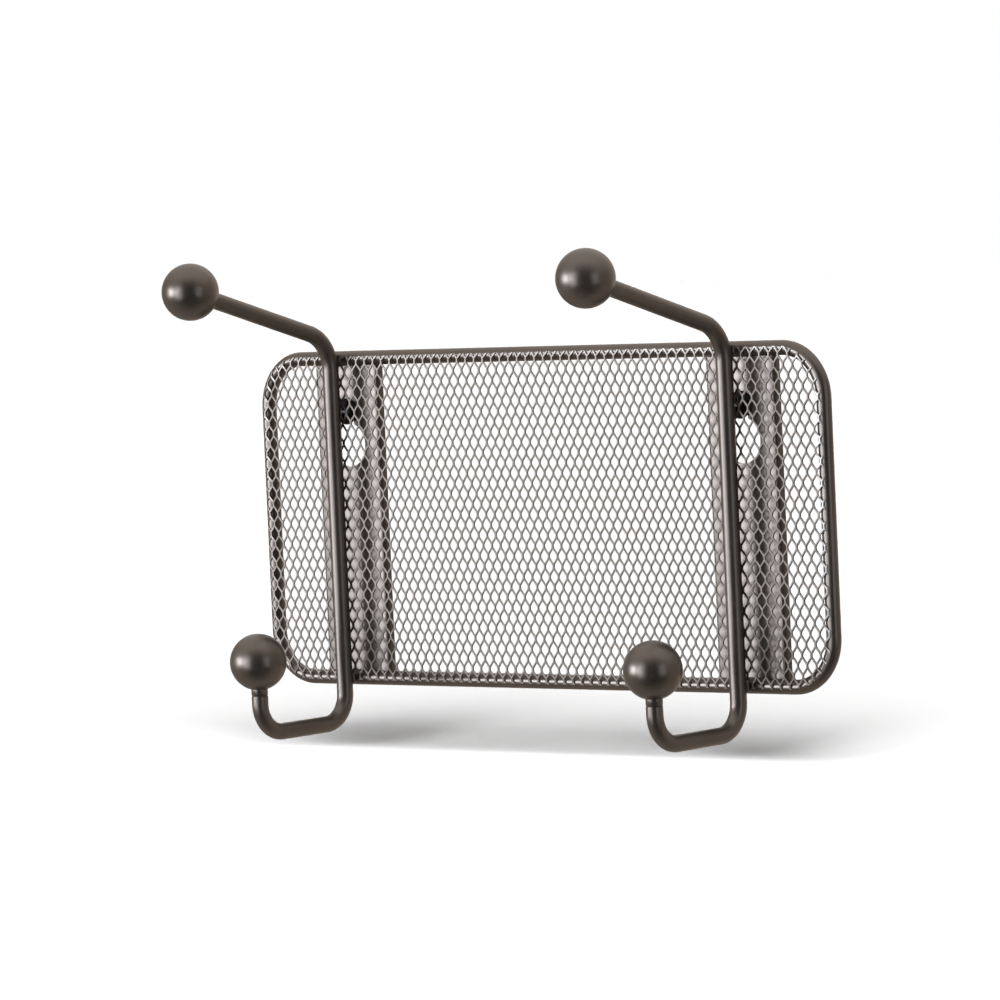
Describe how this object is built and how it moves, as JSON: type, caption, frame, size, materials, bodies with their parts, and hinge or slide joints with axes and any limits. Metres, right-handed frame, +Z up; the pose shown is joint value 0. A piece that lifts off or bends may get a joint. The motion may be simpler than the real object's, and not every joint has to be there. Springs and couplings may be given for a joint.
{
  "type": "wall coat rack",
  "caption": "Wall coat rack: expanded-metal panel in a rounded rod frame with double hooks ending in balls; hangs on screws by keyhole channels.",
  "frame": {"origin": "on the wall plane, behind the middle of the mesh panel", "axes": "+X to the right for a person facing the rack, -Y out of the wall towards that person, +Z up"},
  "size_m": [0.2918, 0.1, 0.1888],
  "materials": {
    "frame_paint": "satin dark bronze powder coat",
    "mesh_paint": "satin dark bronze powder coat on expanded steel",
    "hook_paint": "satin dark bronze powder coat",
    "ball_paint": "satin dark bronze powder coat",
    "channel_paint": "satin dark bronze powder coat",
    "screw_finish": "black oxide"
  },
  "bodies": {
    "root": {"frame_loop": "frame_paint", "mesh_panel": "mesh_paint", "left_wall_channel": "channel_paint", "right_wall_channel": "channel_paint", "left_wall_screw": "screw_finish", "right_wall_screw": "screw_finish", "left_hook_rod": "hook_paint", "right_hook_rod": "hook_paint", "left_upper_ball": "ball_paint", "right_upper_ball": "ball_paint", "left_lower_ball": "ball_paint", "right_lower_ball": "ball_paint"}
  },
  "joints": []
}
